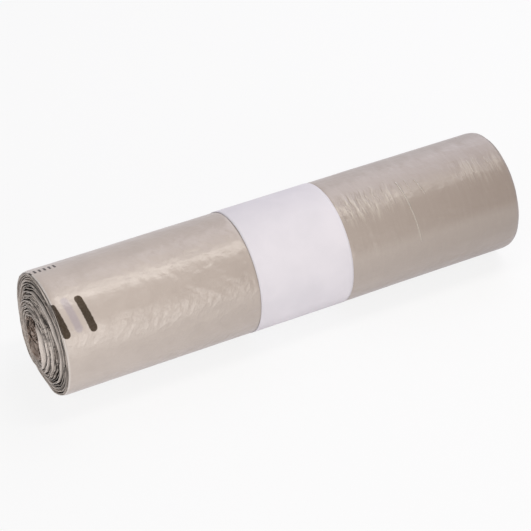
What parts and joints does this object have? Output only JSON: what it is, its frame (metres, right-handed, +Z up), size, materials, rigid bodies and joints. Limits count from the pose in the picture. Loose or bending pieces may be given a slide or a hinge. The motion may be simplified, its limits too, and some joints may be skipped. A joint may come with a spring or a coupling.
{
  "type": "bin bag roll",
  "caption": "Coreless roll of translucent film bin bags, lying on its side, with a plain paper band wrapped round its middle.",
  "frame": {"origin": "on the surface that the roll lies on, under the middle of its box", "axes": "+X along the roll, away from the end that the picture shows; +Z up; +Y to the back, where the tail and the lap of the band lie"},
  "size_m": [0.355, 0.088, 0.0854],
  "materials": {
    "bag_film": "satin translucent film, greyish beige",
    "band_paper": "matt uncoated white"
  },
  "bodies": {
    "root": {"film_roll": "bag_film", "paper_band": "band_paper"}
  },
  "joints": []
}
